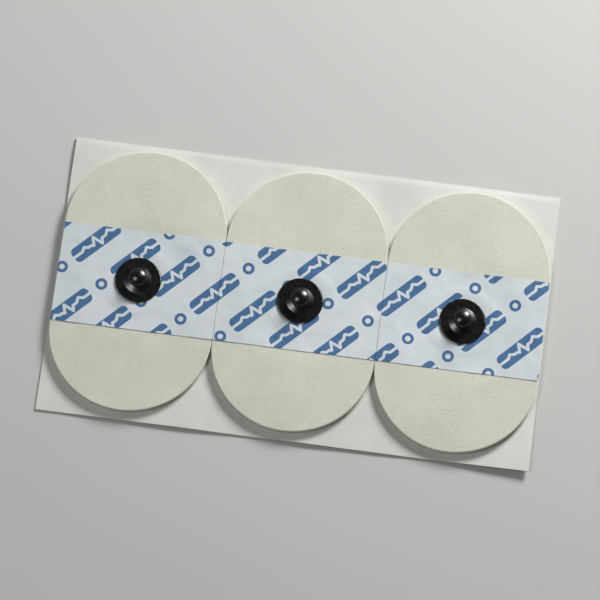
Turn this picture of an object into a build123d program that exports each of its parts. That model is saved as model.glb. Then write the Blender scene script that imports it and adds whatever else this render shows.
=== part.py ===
"""A strip of snap ECG monitoring electrodes on one release liner, as a ward is supplied with them.

Each electrode is a die-cut pad of closed-cell foam with straight sides and round ends. A well
through the middle of the foam holds a disc of conductive gel. A band of printed film crosses the
pad and closes the top of the well. The silver-coated sensor eyelet lies under the film, in the gel,
and its post passes up through the film into the black snap stud, which grips it. Foam and gel lie
face down on the liner, one flat sheet under all the electrodes. Neighbouring pads are parted by a
fine cut, so that each one peels off by itself.

The strip lies flat: X runs along it, Y across it, and Z up from the liner. The origin is in the
middle of the liner's underside.
"""

from build123d import *

import os
from math import acos, degrees, sqrt

# The strip: how many pads, the cut between two of them, and the liner that shows round them
electrode_count = 3
cut_width = 0.2
liner_thickness = 0.25
liner_end_margin = 0.4
liner_side_margin = 1.7

# Foam pad: outline, thickness, and the well for the gel
pad_width = 35.0
pad_length = 58.0
foam_thickness = 1.6
well_diameter = 16.0

# Gel disc: clear of the well's wall all round
gel_wall_gap = 0.15

# Label: a band of film across the pad, with a hole that lets the sensor's post through
band_width = 22.0
label_thickness = 0.12
label_hole_gap = 0.15

# Snap stud: a thin flange on the label, a sloping hub, a waisted neck, and the domed head that the
# lead's clip snaps on
flange_diameter = 10.0
flange_rim = 0.45
flange_rim_round = 0.2
flange_foot_round = 0.1
hub_diameter = 6.0
hub_rise = 0.4
hub_foot_round = 0.6
neck_diameter = 3.1
neck_root_round = 0.35
neck_height = 0.7
head_flank = 0.4
head_diameter = 3.9
head_land = 0.7
head_edge_round = 0.6
crown_radius = 3.4
gate_recess_diameter = 0.8
gate_recess_depth = 0.1
socket_diameter = 1.9
socket_depth = 2.6

# Sensor eyelet: a disc domed towards the skin, and a post that is pressed into the stud
eyelet_diameter = 9.5
eyelet_rim = 0.35
eyelet_dome = 0.4
post_grip = 0.02
post_end_gap = 0.15
post_lead_in = 0.3

# Heights of the layers above the liner's underside
pad_bottom = liner_thickness
label_bottom = pad_bottom + foam_thickness
label_top = label_bottom + label_thickness

# Where the pads lie along the strip
pitch = pad_width + cut_width
strip_length = electrode_count * pitch - cut_width
centres = [(number + 0.5) * pitch - (strip_length + cut_width) / 2 for number in range(electrode_count)]

post_radius = socket_diameter / 2 - post_grip


def sheet(outline, bottom, thickness):
    """A flat outline made a sheet of even thickness, with its underside at a height."""
    return extrude(Pos(0, 0, bottom) * outline, thickness)


def turned(profile, bottom):
    """A closed outline of (radius, height) lines and arcs turned about Z, and lifted to a height."""
    return Pos(0, 0, bottom) * revolve(Plane.XZ * make_face(profile), Axis.Z)


def pad_outline():
    """The die's outline: straight sides across the strip, and a half circle at each end."""
    return SlotOverall(pad_length, pad_width, rotation=90)


def release_liner():
    liner = Rectangle(strip_length + 2 * liner_end_margin, pad_length + 2 * liner_side_margin)
    return sheet(liner, 0, liner_thickness)


def foam_pad():
    """Foam with the gel's well punched through it before the pad is cut out."""
    return sheet(pad_outline() - Circle(well_diameter / 2), pad_bottom, foam_thickness)


def film_label():
    """The band is cut off by the die together with the foam, so its ends are the pad's sides."""
    band = pad_outline() & Rectangle(pad_width, band_width)
    return sheet(band - Circle(post_radius + label_hole_gap), label_bottom, label_thickness)


def snap_stud():
    """Moulded stud with a blind socket from below, and the gate's small recess in its crown."""
    flange_radius = flange_diameter / 2
    hub_radius = hub_diameter / 2
    neck_radius = neck_diameter / 2
    head_radius = head_diameter / 2
    recess_radius = gate_recess_diameter / 2
    socket_radius = socket_diameter / 2
    neck_bottom = flange_rim + hub_rise
    neck_top = neck_bottom + neck_height
    land_bottom = neck_top + head_flank
    land_top = land_bottom + head_land
    side = FilletPolyline(
        (socket_radius, 0),
        (flange_radius, 0),
        (flange_radius, flange_rim),
        (hub_radius, flange_rim),
        (neck_radius, neck_bottom),
        (neck_radius, neck_top),
        (head_radius, land_bottom),
        (head_radius, land_top),
        radius=[flange_foot_round, flange_rim_round, hub_foot_round, neck_root_round, 0, 0],
    )
    edge_centre = head_radius - head_edge_round
    centres_apart = crown_radius - head_edge_round
    crown_centre = land_top - sqrt(centres_apart**2 - edge_centre**2)
    crown_starts = degrees(acos(edge_centre / centres_apart))
    crown_ends = degrees(acos(recess_radius / crown_radius))
    edge = CenterArc((edge_centre, land_top), head_edge_round, 0, crown_starts)
    crown = CenterArc((0, crown_centre), crown_radius, crown_starts, crown_ends - crown_starts)
    recess_floor = (crown @ 1).Y - gate_recess_depth
    inside = Polyline(
        crown @ 1,
        (recess_radius, recess_floor),
        (0, recess_floor),
        (0, socket_depth),
        (socket_radius, socket_depth),
        (socket_radius, 0),
    )
    return turned([side, edge, crown, inside], label_top)


def sensor_eyelet():
    """Silver-coated disc against the label's underside, with the post that the stud grips."""
    eyelet_radius = eyelet_diameter / 2
    post_top = label_thickness + socket_depth - post_end_gap
    dome = TangentArc((0, -eyelet_rim - eyelet_dome), (eyelet_radius, -eyelet_rim), tangent=(1, 0))
    rest = Polyline(
        dome @ 1,
        (eyelet_radius, 0),
        (post_radius, 0),
        (post_radius, post_top - post_lead_in),
        (post_radius - post_lead_in, post_top),
        (0, post_top),
        dome @ 0,
    )
    return turned([dome, rest], label_bottom)


def gel_disc():
    """Gel that fills the well from the liner to the label, and closes round the sensor."""
    disc = sheet(Circle(well_diameter / 2 - gel_wall_gap), pad_bottom, foam_thickness)
    return disc - sensor_eyelet()


def main():
    os.makedirs("parts", exist_ok=True)
    export_step(release_liner(), "parts/release_liner.step")
    electrode = {
        "foam_pad": foam_pad(),
        "gel_disc": gel_disc(),
        "sensor_eyelet": sensor_eyelet(),
        "film_label": film_label(),
        "snap_stud": snap_stud(),
    }
    for number, centre in enumerate(centres, start=1):
        for name, piece in electrode.items():
            export_step(Pos(centre, 0, 0) * piece, f"parts/{name}_{number}.step")


main()
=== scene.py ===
"""The looks of a strip of three snap ECG electrodes on one release liner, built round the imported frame.

X runs along the strip through the studs, Y across it, and Z up from the liner. Sizes are in metres,
written as millimetres times mm. Each electrode has a foam pad, a gel disc, a sensor, a film label and
a stud.
"""

import math

import bpy
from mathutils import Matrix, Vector


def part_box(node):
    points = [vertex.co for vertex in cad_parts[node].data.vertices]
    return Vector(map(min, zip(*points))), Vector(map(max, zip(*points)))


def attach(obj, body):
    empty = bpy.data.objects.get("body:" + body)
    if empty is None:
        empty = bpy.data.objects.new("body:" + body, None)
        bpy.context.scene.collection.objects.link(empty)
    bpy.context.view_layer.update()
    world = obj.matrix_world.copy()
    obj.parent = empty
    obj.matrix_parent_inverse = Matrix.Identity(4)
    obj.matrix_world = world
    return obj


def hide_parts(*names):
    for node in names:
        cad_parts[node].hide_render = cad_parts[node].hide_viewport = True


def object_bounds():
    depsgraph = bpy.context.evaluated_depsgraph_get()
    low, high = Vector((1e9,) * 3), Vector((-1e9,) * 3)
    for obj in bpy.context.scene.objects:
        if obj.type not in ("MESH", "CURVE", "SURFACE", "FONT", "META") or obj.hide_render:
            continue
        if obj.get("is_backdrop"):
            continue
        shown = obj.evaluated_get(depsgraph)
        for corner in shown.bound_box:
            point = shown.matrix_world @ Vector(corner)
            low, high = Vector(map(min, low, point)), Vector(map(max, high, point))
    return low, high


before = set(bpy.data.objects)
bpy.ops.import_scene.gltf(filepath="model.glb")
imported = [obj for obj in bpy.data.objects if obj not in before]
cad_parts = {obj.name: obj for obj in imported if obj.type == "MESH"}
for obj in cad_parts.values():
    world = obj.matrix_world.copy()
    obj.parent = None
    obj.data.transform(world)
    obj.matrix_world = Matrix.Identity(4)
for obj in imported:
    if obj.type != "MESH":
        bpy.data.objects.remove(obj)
cad_low, cad_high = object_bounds()


# Release liner
# One sheet of white paper with a silicone coat, cut square round the three pads. They stick to it only
# lightly. It lies flat under the studs, its margins are a little wavy, and one corner curls up.

mm = 0.001
liner_low, liner_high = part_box("release_liner")
liner_thickness = liner_high.z - liner_low.z
stud_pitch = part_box("foam_pad_2")[0].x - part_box("foam_pad_1")[0].x
flat_round_stud = 9 * mm
free_round_stud = 15 * mm
margin_starts = 15 * mm
front_lift = 0.3 * mm
back_lift = 0.25 * mm
pad_lift = 0.35 * mm
wave_length = 34 * mm
curl_height = 0.75 * mm
curl_starts = 44 * mm
curl_direction = Vector((0.74, -0.67))
edge_turn = 0.14 * mm
turn_starts = 1.1 * mm
liner_step = 0.5 * mm
weld = 0.002 * mm
crisp_angle = 0.7

# Shares of a random field: the range that holds most of it, and a narrower one that gives more contrast
most = (0.3, 0.7)
middle = (0.35, 0.65)


class Wire:
    """One output of a node, so that a sum on it can be written as a Python expression."""

    def __init__(self, tree, socket):
        self.tree = tree
        self.socket = socket

    def math(self, operation, *others):
        return self.tree.math(operation, self, *others)

    def out(self, name):
        """Another output of the same node."""
        return Wire(self.tree, self.socket.node.outputs[name])

    def __add__(self, other):
        return self.math("ADD", other)

    def __radd__(self, other):
        return self.math("ADD", other)

    def __sub__(self, other):
        return self.math("SUBTRACT", other)

    def __rsub__(self, other):
        return self.tree.math("SUBTRACT", other, self)

    def __mul__(self, other):
        return self.math("MULTIPLY", other)

    def __rmul__(self, other):
        return self.math("MULTIPLY", other)

    def __truediv__(self, other):
        return self.math("DIVIDE", other)

    def __pow__(self, other):
        return self.math("POWER", other)


class Tree:
    """A node tree written from Python, for a mesh or for a material."""

    def __init__(self, tree):
        self.tree = tree
        self.tree.nodes.clear()
        self.entry = None

    def node(self, kind, settings=None, values=None, out=0):
        """A new node: first its settings, then the values or links of its sockets."""
        made = self.tree.nodes.new(kind)
        for name, value in (settings or {}).items():
            setattr(made, name, value)
        for name, value in (values or {}).items():
            if isinstance(value, Wire):
                self.tree.links.new(value.socket, made.inputs[name])
            else:
                made.inputs[name].default_value = value
        return Wire(self, made.outputs[out] if made.outputs else None)

    def math(self, operation, *values):
        return self.node("ShaderNodeMath", {"operation": operation}, dict(enumerate(values)))

    def vector(self, operation, *values, out=0):
        return self.node("ShaderNodeVectorMath", {"operation": operation}, dict(enumerate(values)), out)

    def input(self, name, kind="NodeSocketFloat"):
        """A named input of the whole tree."""
        self.tree.interface.new_socket(name, in_out="INPUT", socket_type=kind)
        if self.entry is None:
            self.entry = self.tree.nodes.new("NodeGroupInput")
        return Wire(self, self.entry.outputs[name])

    def output(self, name, kind, wire):
        """A named output of the whole tree."""
        self.tree.interface.new_socket(name, in_out="OUTPUT", socket_type=kind)
        self.node("NodeGroupOutput", values={name: wire})
        return self.tree

    def group(self, tree, **values):
        """Another tree used as one node of this one. Spaces in its inputs' names are underscores here."""
        named = {name.replace("_", " "): value for name, value in values.items()}
        return self.node("GeometryNodeGroup", {"node_tree": tree}, named)


def mesh_tree(name):
    return Tree(bpy.data.node_groups.new(name, "GeometryNodeTree"))


def noise(tree, place, grain, detail=2.0):
    """A soft random field from 0 to 1, whose blots are about as large as the grain."""
    return tree.node("ShaderNodeTexNoise", values={"Vector": place, "Scale": 1 / grain, "Detail": detail})


def rises(tree, value, low, high):
    """A smooth rise from 0 to 1 while a value goes from low to high."""
    ends = {"Value": value, "From Min": low, "From Max": high}
    return tree.node("ShaderNodeMapRange", {"interpolation_type": "SMOOTHSTEP"}, ends)


def lie_of_the_strip():
    """How high the liner and all that is stuck to it stands off the table, at each place along it."""
    tree = mesh_tree("lie of the strip")
    position = tree.input("Position", "NodeSocketVector")
    place = tree.node("ShaderNodeSeparateXYZ", values={0: position})
    x, y = place.out("X"), place.out("Y")
    beside_stud = x.math("WRAP", stud_pitch / 2, -stud_pitch / 2)
    from_stud = (beside_stud * beside_stud + y * y).math("SQRT")
    flat = tree.vector("MULTIPLY", position, (1, 1, 0))
    wave = noise(tree, flat, grain=wave_length, detail=1.0)
    free = rises(tree, from_stud, flat_round_stud, free_round_stud)
    front = rises(tree, y, -margin_starts, liner_low.y)
    back = rises(tree, y, margin_starts, liner_high.y)
    swell = rises(tree, wave, *most)
    lift = free * swell * (front * front_lift + back * back_lift + pad_lift)
    past = (x * curl_direction.x + y * curl_direction.y - curl_starts).math("MAXIMUM", 0.0)
    reach = liner_high.x * curl_direction.x + liner_low.y * curl_direction.y - curl_starts
    curl = (past / reach) ** 2.0 * curl_height
    turned = rises(tree, y, liner_high.y - turn_starts, liner_high.y) * edge_turn
    return tree.output("Lift", "NodeSocketFloat", (lift + curl - turned).math("MAXIMUM", 0.0))


def lifted_off_table(tree, geometry, lie):
    """A piece raised at each place by as much as the strip stands off the table there."""
    lift = tree.group(lie, Position=tree.node("GeometryNodeInputPosition"))
    offset = tree.node("ShaderNodeCombineXYZ", values={"Z": lift})
    return tree.node("GeometryNodeSetPosition", values={"Geometry": geometry, "Offset": offset})


def welded(tree, geometry):
    return tree.node("GeometryNodeMergeByDistance", values={"Geometry": geometry, "Distance": weld})


def closed_sheet(tree, sheet, thickness, steps):
    """A flat sheet given its thickness by a few rows of wall, with its underside closed."""
    under = tree.node("GeometryNodeFlipFaces", values={"Mesh": sheet})
    rise = tree.node("ShaderNodeCombineXYZ", values={"Z": thickness / float(steps)})
    top = True
    for step in range(steps):
        values = {"Mesh": sheet, "Selection": top, "Offset": rise, "Offset Scale": 1.0, "Individual": False}
        sheet = tree.node("GeometryNodeExtrudeMesh", {"mode": "FACES"}, values)
        top = sheet.out("Top")
    both = tree.node("GeometryNodeJoinGeometry", values={0: sheet})
    tree.tree.links.new(under.socket, both.socket.node.inputs[0])
    return welded(tree, both)


def finished(tree, geometry, material):
    """Smooth faces with crisp edges, real geometry and its material, as each tree ends."""
    smooth = tree.node("GeometryNodeSetShadeSmooth", {"domain": "FACE"}, {"Geometry": geometry})
    sharp = tree.node("GeometryNodeInputMeshEdgeAngle").math("GREATER_THAN", crisp_angle)
    crisp = {"Geometry": smooth, "Selection": sharp, "Shade Smooth": False}
    edged = tree.node("GeometryNodeSetShadeSmooth", {"domain": "EDGE"}, crisp)
    real = tree.node("GeometryNodeRealizeInstances", values={"Geometry": edged})
    coated = tree.node("GeometryNodeSetMaterial", values={"Geometry": real, "Material": material})
    return tree.output("Geometry", "NodeSocketGeometry", coated)


def made_by(tree, name, inputs):
    """The mesh that a tree makes from its named inputs, as an object with no modifier left."""
    piece = bpy.data.objects.new(name, bpy.data.meshes.new(name))
    bpy.context.scene.collection.objects.link(piece)
    modifier = piece.modifiers.new(tree.name, "NODES")
    modifier.node_group = tree
    for socket in tree.interface.items_tree:
        if socket.in_out == "INPUT":
            modifier[socket.identifier] = inputs[socket.name]
    evaluated = piece.evaluated_get(bpy.context.evaluated_depsgraph_get())
    mesh = bpy.data.meshes.new_from_object(evaluated)
    piece.modifiers.clear()
    piece.data = mesh
    mesh.name = name
    return piece


def liner_tree(lie):
    tree = mesh_tree("release liner")
    length = tree.input("Length")
    width = tree.input("Width")
    thickness = tree.input("Thickness")
    step = tree.input("Step")
    material = tree.input("Material", "NodeSocketMaterial")
    size = {"Size X": length, "Size Y": width, "Vertices X": length / step, "Vertices Y": width / step}
    flat = tree.node("GeometryNodeMeshGrid", values=size)
    solid = closed_sheet(tree, flat, thickness, 1)
    return finished(tree, lifted_off_table(tree, solid, lie), material)


def colour(red, green, blue):
    """A colour written as it looks on a screen, from 0 to 255, as the renderer's linear light."""
    return tuple(((part / 255 + 0.055) / 1.055) ** 2.4 for part in (red, green, blue))


def new_material(name, constants):
    """A material with its Principled shader's constant values set on the shader's own sockets."""
    material = bpy.data.materials.new(name)
    material.use_nodes = True
    tree = Tree(material.node_tree)
    shader = tree.node("ShaderNodeBsdfPrincipled", values=constants)
    tree.node("ShaderNodeOutputMaterial", values={"Surface": shader})
    place = tree.node("ShaderNodeTexCoord").out("Object")
    return material, tree, shader.socket.node, place


def feed(tree, shader, **wires):
    """Links what varies over a surface to the shader. Spaces in the sockets' names are underscores here."""
    for name, wire in wires.items():
        tree.tree.links.new(wire.socket, shader.inputs[name.replace("_", " ")])


def mixed(tree, share, first, second):
    """A colour part of the way from the first to the second."""
    settings = {"data_type": "RGBA", "clamp_factor": True}
    first, second = (value if isinstance(value, Wire) else (*value, 1) for value in (first, second))
    return tree.node("ShaderNodeMix", settings, {0: share, 6: first, 7: second}, 2)


def between(tree, value, low, high, start=0.0, end=1.0):
    """A value brought from one range to another, and held at its ends."""
    ends = {"Value": value, "From Min": low, "From Max": high, "To Min": start, "To Max": end}
    return tree.node("ShaderNodeMapRange", values=ends)


def bumped(tree, height, depth):
    """The normal of a surface whose height runs from 0 to 1 over a real depth."""
    return tree.node("ShaderNodeBump", values={"Height": height, "Distance": depth})


def liner_material():
    paper = colour(203, 204, 197)
    pale_paper = colour(210, 210, 205)
    dark_fibre = colour(192, 192, 184)
    material, tree, shader, place = new_material("siliconised_paper", {"IOR": 1.43})
    cloudy = noise(tree, place, grain=7 * mm, detail=3.0)
    fibre = noise(tree, place, grain=0.5 * mm, detail=4.0)
    tone = mixed(tree, between(tree, cloudy, *middle), paper, pale_paper)
    tone = mixed(tree, between(tree, fibre, 0.55, 0.75, end=0.25), tone, dark_fibre)
    smear = between(tree, cloudy * 0.6 + fibre * 0.4, *most, start=0.48, end=0.6)
    feed(tree, shader, Base_Color=tone, Roughness=smear, Normal=bumped(tree, fibre, depth=0.012 * mm))
    return material


lie = lie_of_the_strip()
liner = made_by(
    liner_tree(lie),
    "liner_sheet",
    {
        "Length": liner_high.x - liner_low.x,
        "Width": liner_high.y - liner_low.y,
        "Thickness": liner_thickness,
        "Step": liner_step,
        "Material": liner_material(),
    },
)
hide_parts("release_liner")
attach(liner, "root")


# Foam pads
# White closed-cell polyethylene foam, cut by a steel rule die that presses its top edge round and leaves
# the cut wall a little hollow. Adhesive under each pad holds it on the liner.

pad_nodes = [name for name in sorted(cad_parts) if name.startswith("foam_pad")]
electrodes = [int(name.rsplit("_", 1)[1]) for name in pad_nodes]
foam_low, foam_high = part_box("foam_pad_2")
open_cut = 0.04 * mm
pad_width = stud_pitch - open_cut
pad_length = foam_high.y - foam_low.y
foam_thickness = foam_high.z - foam_low.z
gel_low, gel_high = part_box("gel_disc_2")
gel_gap = 0.15 * mm
well_radius = (gel_high.x - gel_low.x) / 2 + gel_gap
edge_round = 0.22 * mm
wall_hollow = 0.09 * mm
top_starts = 0.99
corner_points = 48
rows_across = 34
points_around = 260
rows_crowd_outwards = 2.1
wall_rows = 4
foam_cell = 0.42 * mm
pinhole_spacing = 1.9 * mm


def ring_sheet():
    """A flat sheet between a round hole and an outline with round or square ends, centred at zero."""
    tree = mesh_tree("ring sheet")
    width = tree.input("Width")
    length = tree.input("Length")
    corner = tree.input("Corner Radius")
    hole = tree.input("Hole Radius")
    rows = tree.input("Rows", "NodeSocketInt")
    around = tree.input("Around", "NodeSocketInt")
    box = tree.node("GeometryNodeCurvePrimitiveQuadrilateral", values={"Width": width, "Height": length})
    rounding = {"Curve": box, "Count": corner_points, "Radius": corner, "Limit Radius": True}
    rounded = tree.node("GeometryNodeFilletCurve", {"mode": "POLY"}, rounding)
    outline = tree.node("GeometryNodeResampleCurve", {"mode": "COUNT"}, {"Curve": rounded, "Count": around})
    unit = {"Size X": 1.0, "Size Y": 1.0, "Vertices X": rows, "Vertices Y": around + 1.0}
    grid = tree.node("GeometryNodeMeshGrid", values=unit)
    place = tree.node("ShaderNodeSeparateXYZ", values={0: tree.node("GeometryNodeInputPosition")})
    outwards = 1.0 - (0.5 - place.out("X")).math("MAXIMUM", 0.0) ** rows_crowd_outwards
    sample = {"Curves": outline, "Factor": place.out("Y") + 0.5}
    rim = tree.node("GeometryNodeSampleCurve", {"mode": "FACTOR"}, sample).out("Position")
    inner = tree.vector("SCALE", tree.vector("NORMALIZE", rim))
    tree.tree.links.new(hole.socket, inner.socket.node.inputs["Scale"])
    span = {"Factor": outwards, 4: inner, 5: rim}
    target = tree.node("ShaderNodeMix", {"data_type": "VECTOR"}, span, 1)
    placed = tree.node("GeometryNodeSetPosition", values={"Geometry": grid, "Position": target})
    return tree.output("Geometry", "NodeSocketGeometry", welded(tree, placed))


def pad_edge():
    """How far the die pressed a pad down at each place, which is only close to its cut edge."""
    tree = mesh_tree("pad edge")
    position = tree.input("Position", "NodeSocketVector")
    rounding = tree.input("Rounding")
    place = tree.node("ShaderNodeSeparateXYZ", values={0: position})
    straight = (pad_length - pad_width) / 2
    x, y = place.out("X"), place.out("Y")
    past = y - y.math("MAXIMUM", -straight).math("MINIMUM", straight)
    inside = pad_width / 2 - (x * x + past * past).math("SQRT")
    share = 1.0 - (inside / rounding).math("MAXIMUM", 0.0).math("MINIMUM", 1.0)
    drop = rounding * (1.0 - (1.0 - share * share).math("MAXIMUM", 0.0).math("SQRT"))
    return tree.output("Drop", "NodeSocketFloat", drop)


def foam_tree(ring, edge, lie):
    tree = mesh_tree("die-cut foam pad")
    centre = tree.input("Centre", "NodeSocketVector")
    width = tree.input("Width")
    length = tree.input("Length")
    well = tree.input("Well Radius")
    thickness = tree.input("Thickness")
    hollow = tree.input("Wall Hollow")
    material = tree.input("Material", "NodeSocketMaterial")
    sizes = {"Width": width, "Length": length, "Corner_Radius": width / 2.0, "Hole_Radius": well}
    flat = tree.group(ring, **sizes, Rows=rows_across, Around=points_around)
    solid = closed_sheet(tree, flat, thickness, wall_rows)
    position = tree.node("GeometryNodeInputPosition")
    height = tree.node("ShaderNodeSeparateXYZ", values={0: position}).out("Z") / thickness
    on_top = height.math("GREATER_THAN", top_starts)
    drop = tree.group(edge, Position=position, Rounding=edge_round) * on_top
    bow = (1.0 - height) * height * 4.0
    inwards = bow * hollow / (width / -2.0) + 1.0
    waist = tree.node("ShaderNodeCombineXYZ", values={"X": inwards, "Y": inwards, "Z": 1.0})
    waisted = tree.vector("MULTIPLY", position, waist)
    down = tree.node("ShaderNodeCombineXYZ", values={"Z": 0.0 - drop})
    shaped = tree.vector("ADD", tree.vector("ADD", waisted, down), centre)
    cut = tree.node("GeometryNodeSetPosition", values={"Geometry": solid, "Position": shaped})
    return finished(tree, lifted_off_table(tree, cut, lie), material)


def foam_material():
    foam_tone = colour(200, 202, 188)
    pale_foam = colour(207, 207, 195)
    # Painted shade: the foam is darker in the seams between its cell domes, where the bump is lowest
    crevice_shade = colour(190, 192, 176)
    bright_cells = colour(216, 216, 206)
    # Painted shade: the pinholes are coloured darker, as shade inside the pits
    pinhole_shade = colour(168, 170, 154)
    soft = {
        "IOR": 1.35,
        "Subsurface Weight": 0.25,
        "Subsurface Scale": 0.6 * mm,
        "Subsurface Radius": (1.0, 0.95, 0.8),
    }
    material, tree, shader, place = new_material("polyethylene_foam", soft)
    cells = {"Vector": place, "Scale": 1 / foam_cell}
    domes = tree.node("ShaderNodeTexVoronoi", {"feature": "SMOOTH_F1"}, cells)
    pinholes = tree.node("ShaderNodeTexVoronoi", values={"Vector": place, "Scale": 1 / pinhole_spacing})
    pits = between(tree, pinholes, 0.05, 0.11, start=1.0, end=0.0)
    mottle = noise(tree, place, grain=5 * mm, detail=3.0)
    shade = noise(tree, place, grain=0.9 * mm)
    tone = mixed(tree, between(tree, mottle, *middle), foam_tone, pale_foam)
    # Painted shade: darker where the cell domes meet, in the low seams of the bump
    tone = mixed(tree, between(tree, domes, 0.3, 0.8, end=0.35), tone, crevice_shade)
    tone = mixed(tree, between(tree, shade, 0.5, 0.8, end=0.2), tone, bright_cells)
    # Painted shade: each pit of the bump is darkened
    tone = mixed(tree, pits * 0.28, tone, pinhole_shade)
    dull = between(tree, mottle, *most, start=0.74, end=0.88)
    height = (1.0 - domes) * 0.7 + mottle * 0.6 - pits * 0.8
    feed(tree, shader, Base_Color=tone, Roughness=dull, Normal=bumped(tree, height, depth=0.05 * mm))
    return material


ring = ring_sheet()
edge = pad_edge()
pad_maker = foam_tree(ring, edge, lie)
foam = foam_material()
for number in electrodes:
    node = f"foam_pad_{number}"
    low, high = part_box(node)
    inputs = {
        "Centre": Vector(((low.x + high.x) / 2, 0, low.z)),
        "Width": pad_width,
        "Length": pad_length,
        "Well Radius": well_radius,
        "Thickness": foam_thickness,
        "Wall Hollow": wall_hollow,
        "Material": foam,
    }
    pad = made_by(pad_maker, f"foam_{number}", inputs)
    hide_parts(node)
    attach(pad, "root")


# Gel discs
# Clear conductive hydrogel, poured into each pad's well from the skin side. It fills the well from the
# liner to the film and closes round the sensor.

bubble_spacing = 0.8 * mm


def gel_material():
    gel_tone = colour(214, 228, 232)
    pale_gel = colour(228, 238, 240)
    bubble = colour(246, 250, 250)
    wet = {"IOR": 1.36, "Transmission Weight": 0.55, "Specular IOR Level": 0.6}
    material, tree, shader, place = new_material("hydrogel", wet)
    bubbles = tree.node("ShaderNodeTexVoronoi", values={"Vector": place, "Scale": 1 / bubble_spacing})
    swirl = noise(tree, place, grain=3 * mm)
    tone = mixed(tree, swirl, gel_tone, pale_gel)
    tone = mixed(tree, between(tree, bubbles, 0.05, 0.12, start=0.5, end=0.0), tone, bubble)
    slick = between(tree, swirl, *most, start=0.08, end=0.2)
    feed(tree, shader, Base_Color=tone, Roughness=slick, Normal=bumped(tree, swirl, depth=0.06 * mm))
    return material


def dress(node, material):
    """Gives a CAD node its finish. The node itself stays as it is."""
    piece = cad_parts[node]
    piece.data.materials.clear()
    piece.data.materials.append(material)


gel = gel_material()
for number in electrodes:
    dress(f"gel_disc_{number}", gel)


# Sensor eyelets
# Moulded resin discs with a fine grey coat of silver and silver chloride. The post of each goes up
# through the film and is pressed into its stud.


def sensor_material():
    silver = colour(150, 146, 139)
    tarnished = colour(126, 120, 114)
    bright_grain = colour(190, 187, 182)
    material, tree, shader, place = new_material("silver_chloride_coat", {"IOR": 1.6})
    grains = noise(tree, place, grain=0.12 * mm, detail=3.0)
    tarnish = noise(tree, place, grain=1.6 * mm)
    tone = mixed(tree, between(tree, tarnish, *middle), silver, tarnished)
    tone = mixed(tree, between(tree, grains, 0.55, 0.8, end=0.5), tone, bright_grain)
    metal = between(tree, tarnish, *middle, start=0.75, end=0.45)
    dull = between(tree, grains, *most, start=0.42, end=0.6)
    feed(tree, shader, Base_Color=tone, Metallic=metal, Roughness=dull)
    feed(tree, shader, Normal=bumped(tree, grains, depth=0.01 * mm))
    return material


coat = sensor_material()
for number in electrodes:
    dress(f"sensor_eyelet_{number}", coat)


# Film labels
# White printed film with adhesive, laid as one band along the foam before the die cuts pads and band
# together. It follows the pressed edge of the foam, and its print runs on from pad to pad.

film_low, film_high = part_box("film_label_2")
film_thickness = film_high.z - film_low.z
band_width = film_high.y - film_low.y
stud_low, stud_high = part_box("snap_stud_2")
flange_radius = (stud_high.x - stud_low.x) / 2
post_hole_radius = 1.08 * mm
label_rows = 40
label_points = 228
film_edge_round = 0.12 * mm

# Puckers in the film, which begin clear of the flange
pucker_height = 0.08 * mm
pucker_grain = 5 * mm
pucker_field = (0.45, 0.7)
puckers_start = flange_radius + 0.3 * mm
puckers_full = flange_radius + 3 * mm

# The gel's soft swelling under the film, between the flange and the well's edge
gel_swell = 0.07 * mm
swell_starts = flange_radius + 0.1 * mm
swell_full = flange_radius + 1.3 * mm
swell_fades = well_radius - 0.9 * mm
swell_ends = well_radius + 0.2 * mm

# The print, with the heartbeat's corners in millimetres from the middle of its badge
badge_length = 12 * mm
badge_height = 3.5 * mm
badge_corner = 1.1 * mm
badge_pitch = 18.4 * mm
badge_row_gap = 8.3 * mm
badge_stagger = 0.24
line_width = 0.62 * mm
ring_radius = 0.95 * mm
ring_width = 0.7 * mm
ink_edge = 0.05 * mm
ink_cover = 0.97
heartbeat = [
    (-6.5, -0.1),
    (-3.7, -0.1),
    (-2.9, 0.5),
    (-2.1, -0.1),
    (-1.4, -0.1),
    (-0.9, -0.45),
    (0, 1.2),
    (0.9, -1.15),
    (1.5, -0.1),
    (2.5, -0.1),
    (3.4, 0.65),
    (4.3, -0.1),
    (6.5, -0.1),
]


def label_tree(ring, edge, lie):
    tree = mesh_tree("film label")
    centre = tree.input("Centre", "NodeSocketVector")
    width = tree.input("Width")
    length = tree.input("Length")
    hole = tree.input("Hole Radius")
    thickness = tree.input("Thickness")
    pucker = tree.input("Pucker Height")
    material = tree.input("Material", "NodeSocketMaterial")
    sizes = {"Width": width, "Length": length, "Corner_Radius": 0.0, "Hole_Radius": hole}
    flat = tree.group(ring, **sizes, Rows=label_rows, Around=label_points)
    solid = closed_sheet(tree, flat, thickness, 1)
    position = tree.node("GeometryNodeInputPosition")
    drop = tree.group(edge, Position=position, Rounding=film_edge_round)
    down = tree.node("ShaderNodeCombineXYZ", values={"Z": 0.0 - drop})
    shaped = tree.vector("ADD", tree.vector("ADD", position, down), centre)
    bent = tree.node("GeometryNodeSetPosition", values={"Geometry": solid, "Position": shaped})
    position = tree.node("GeometryNodeInputPosition")
    beside_stud = tree.vector("MULTIPLY", tree.vector("SUBTRACT", position, centre), (1, 1, 0))
    from_stud = tree.vector("LENGTH", beside_stud, out=1)
    clear = between(tree, from_stud, puckers_start, puckers_full)
    swollen = rises(tree, from_stud, swell_starts, swell_full)
    swollen = swollen * (1.0 - rises(tree, from_stud, swell_fades, swell_ends))
    level = tree.vector("MULTIPLY", position, (1, 1, 0))
    field = noise(tree, level, grain=pucker_grain, detail=1.0)
    waves = between(tree, field, *pucker_field) * clear * pucker
    lift = tree.group(lie, Position=position) + waves + swollen * gel_swell
    offset = tree.node("ShaderNodeCombineXYZ", values={"Z": lift})
    lifted = tree.node("GeometryNodeSetPosition", values={"Geometry": bent, "Offset": offset})
    return finished(tree, lifted, material)


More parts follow.
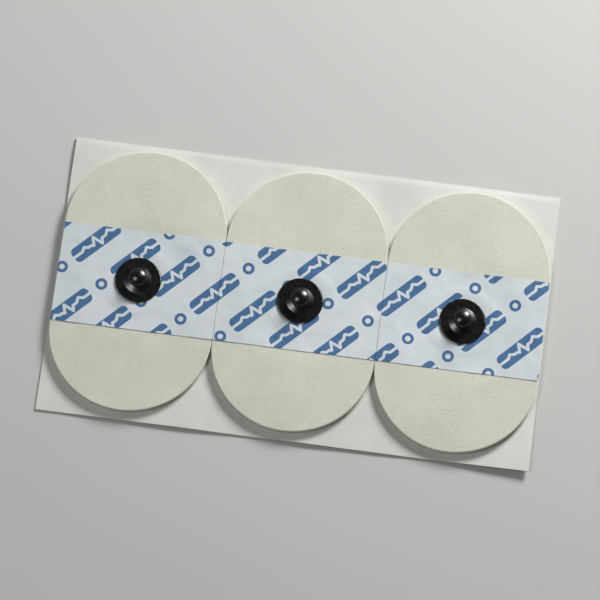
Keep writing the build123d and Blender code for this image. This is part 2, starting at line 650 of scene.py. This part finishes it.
def printed_badges(tree, place):
    """Ink from 0 to 1: badges in slanting rows, a heartbeat's line left open in each, and rings between."""
    across = tree.node("ShaderNodeSeparateXYZ", values={0: place})
    x, y = across.out("X"), across.out("Y")
    up = (y - x) / math.sqrt(2) / badge_row_gap
    row = up.math("FLOOR")
    height = (up - row - 0.5) * badge_row_gap
    along = (x + y) / math.sqrt(2) / badge_pitch + row * badge_stagger
    run = (along.math("FRACT") - 0.5) * badge_pitch
    past_end = run.math("ABSOLUTE") - (badge_length / 2 - badge_corner)
    past_side = height.math("ABSOLUTE") - (badge_height / 2 - badge_corner)
    out_end, out_side = past_end.math("MAXIMUM", 0.0), past_side.math("MAXIMUM", 0.0)
    outside = (out_end * out_end + out_side * out_side).math("SQRT")
    inside = past_end.math("MAXIMUM", past_side).math("MINIMUM", 0.0)
    badge = between(tree, outside + inside - badge_corner, -ink_edge, ink_edge, start=1.0, end=0.0)
    nearest = None
    for (x1, y1), (x2, y2) in zip(heartbeat, heartbeat[1:]):
        dx, dy = (x2 - x1) * mm, (y2 - y1) * mm
        from_x, from_y = run - x1 * mm, height - y1 * mm
        share = (from_x * dx + from_y * dy) / (dx * dx + dy * dy)
        share = share.math("MAXIMUM", 0.0).math("MINIMUM", 1.0)
        off_x, off_y = from_x - share * dx, from_y - share * dy
        away = off_x * off_x + off_y * off_y
        nearest = away if nearest is None else nearest.math("MINIMUM", away)
    line = between(tree, nearest.math("SQRT"), line_width / 2 - ink_edge, line_width / 2 + ink_edge)
    beyond = badge_pitch / 2 - run.math("ABSOLUTE")
    from_ring = ((beyond * beyond + height * height).math("SQRT") - ring_radius).math("ABSOLUTE")
    ring_ends = (ring_width / 2 - ink_edge, ring_width / 2 + ink_edge)
    return badge * line + between(tree, from_ring, *ring_ends, start=1.0, end=0.0)


def label_material():
    film_tone = colour(196, 204, 208)
    pale_film = colour(203, 210, 214)
    ink = colour(40, 88, 134)
    pale_ink = colour(54, 102, 148)
    material, tree, shader, place = new_material("printed_film", {"IOR": 1.5})
    cloudy = noise(tree, place, grain=9 * mm)
    fine = noise(tree, place, grain=0.35 * mm, detail=3.0)
    ripple = noise(tree, place, grain=1.6 * mm, detail=1.0)
    plain = mixed(tree, between(tree, cloudy, *middle), film_tone, pale_film)
    solid_ink = mixed(tree, between(tree, fine, 0.4, 0.7), ink, pale_ink)
    tone = mixed(tree, printed_badges(tree, place) * ink_cover, plain, solid_ink)
    satin = between(tree, cloudy * 0.5 + fine * 0.5, *middle, start=0.46, end=0.56)
    foam_below = {"Vector": place, "Scale": 1 / foam_cell, "Smoothness": 1.0}
    domes = tree.node("ShaderNodeTexVoronoi", {"feature": "SMOOTH_F1"}, foam_below)
    relief = ripple + (1.0 - domes) * 0.3 + fine * 0.15
    feed(tree, shader, Base_Color=tone, Roughness=satin, Normal=bumped(tree, relief, depth=0.025 * mm))
    return material


label_maker = label_tree(ring, edge, lie)
film = label_material()
for number in electrodes:
    node = f"film_label_{number}"
    low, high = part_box(node)
    inputs = {
        "Centre": Vector(((low.x + high.x) / 2, 0, low.z)),
        "Width": pad_width,
        "Length": band_width,
        "Hole Radius": post_hole_radius,
        "Thickness": film_thickness,
        "Pucker Height": pucker_height,
        "Material": film,
    }
    label = made_by(label_maker, f"label_{number}", inputs)
    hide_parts(node)
    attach(label, "root")


# Snap studs
# Black carbon-filled plastic, injection moulded from the top, so that a shallow gate mark is left in the
# crown. Each stud is pressed on to its sensor's post and pinches the film between them.

fleck_spacing = 0.22 * mm


def stud_material():
    black = colour(9, 9, 8)
    warm_black = colour(16, 15, 13)
    fleck = colour(44, 42, 38)
    material, tree, shader, place = new_material("carbon_filled_plastic", {"IOR": 1.58})
    flow = noise(tree, place, grain=1.1 * mm, detail=3.0)
    grain = noise(tree, place, grain=0.09 * mm)
    flecks = tree.node("ShaderNodeTexVoronoi", values={"Vector": place, "Scale": 1 / fleck_spacing})
    tone = mixed(tree, between(tree, flow, *middle), black, warm_black)
    tone = mixed(tree, between(tree, flecks, 0.05, 0.13, start=0.3, end=0.0), tone, fleck)
    gloss = between(tree, flow * 0.5 + grain * 0.5, *most, start=0.2, end=0.32)
    feed(tree, shader, Base_Color=tone, Roughness=gloss, Normal=bumped(tree, grain, depth=0.0015 * mm))
    return material


stud_plastic = stud_material()
for number in electrodes:
    dress(f"snap_stud_{number}", stud_plastic)


# Table, light and camera
# A pale table in a room with a dim ceiling, a low window behind on the right, a small reflector high on
# the left, and a camera that looks down on the strip with a long lens.

table_colour = colour(190, 191, 188)
pale_table = tuple(part * 1.03 for part in table_colour)
table_size = 4.0
camera_azimuth = math.radians(7.5)
camera_elevation = math.radians(75)
camera_distance = 0.8
view_width = 0.129
side_strength = 0.27
ceiling_strength = 0.03
walls_end = 0.4
ceiling_starts = 0.8


def direction(azimuth, elevation):
    """The way to a point seen from the strip. Azimuth 0 is the front, and 90 the right."""
    flat = math.cos(elevation)
    return Vector((math.sin(azimuth) * flat, -math.cos(azimuth) * flat, math.sin(elevation)))


def table_material():
    material, tree, shader, place = new_material("table_top", {"IOR": 1.4})
    cloudy = noise(tree, place, grain=60 * mm)
    tone = mixed(tree, cloudy, table_colour, pale_table)
    feed(tree, shader, Base_Color=tone, Roughness=between(tree, cloudy, *most, start=0.8, end=0.9))
    return material


def lamp(name, azimuth, elevation, distance, size, power):
    """A square lamp that faces the strip, with its azimuth and elevation in degrees."""
    light = bpy.data.lights.new(name, "AREA")
    light.size = size
    light.energy = power
    holder = bpy.data.objects.new(name, light)
    towards = direction(math.radians(azimuth), math.radians(elevation))
    holder.location = towards * distance
    holder.rotation_euler = towards.to_track_quat("Z", "Y").to_euler()
    bpy.context.scene.collection.objects.link(holder)


half = table_size / 2
table_corners = [(-half, -half, 0), (half, -half, 0), (half, half, 0), (-half, half, 0)]
table_mesh = bpy.data.meshes.new("table")
table_mesh.from_pydata(table_corners, [], [(0, 1, 2, 3)])
table_mesh.materials.append(table_material())
table = bpy.data.objects.new("table", table_mesh)
bpy.context.scene.collection.objects.link(table)
table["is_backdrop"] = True

lamp("window", azimuth=150, elevation=33, distance=0.5, size=0.16, power=3.12)
lamp("reflector", azimuth=-74, elevation=66, distance=0.6, size=0.115, power=0.72)

world = bpy.data.worlds.new("room")
bpy.context.scene.world = world
world.use_nodes = True
room = Tree(world.node_tree)
looking = room.node("ShaderNodeTexCoord").out("Generated")
upwards = room.node("ShaderNodeSeparateXYZ", values={0: looking}).out("Z")
glow = between(room, upwards, walls_end, ceiling_starts, start=side_strength, end=ceiling_strength)
sky = room.node("ShaderNodeBackground", values={"Color": (1.0, 1.0, 1.0, 1.0), "Strength": glow})
room.node("ShaderNodeOutputWorld", values={"Surface": sky})

lens = bpy.data.cameras.new("camera")
lens.lens = lens.sensor_width / 2 / (view_width / 2 / camera_distance)
camera = bpy.data.objects.new("camera", lens)
looking_at = (cad_low + cad_high) / 2
towards_camera = direction(camera_azimuth, camera_elevation)
camera.location = looking_at + towards_camera * camera_distance
camera.rotation_euler = towards_camera.to_track_quat("Z", "Y").to_euler()
bpy.context.scene.collection.objects.link(camera)
bpy.context.scene.camera = camera
bpy.context.scene.view_settings.view_transform = "Standard"

low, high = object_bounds()
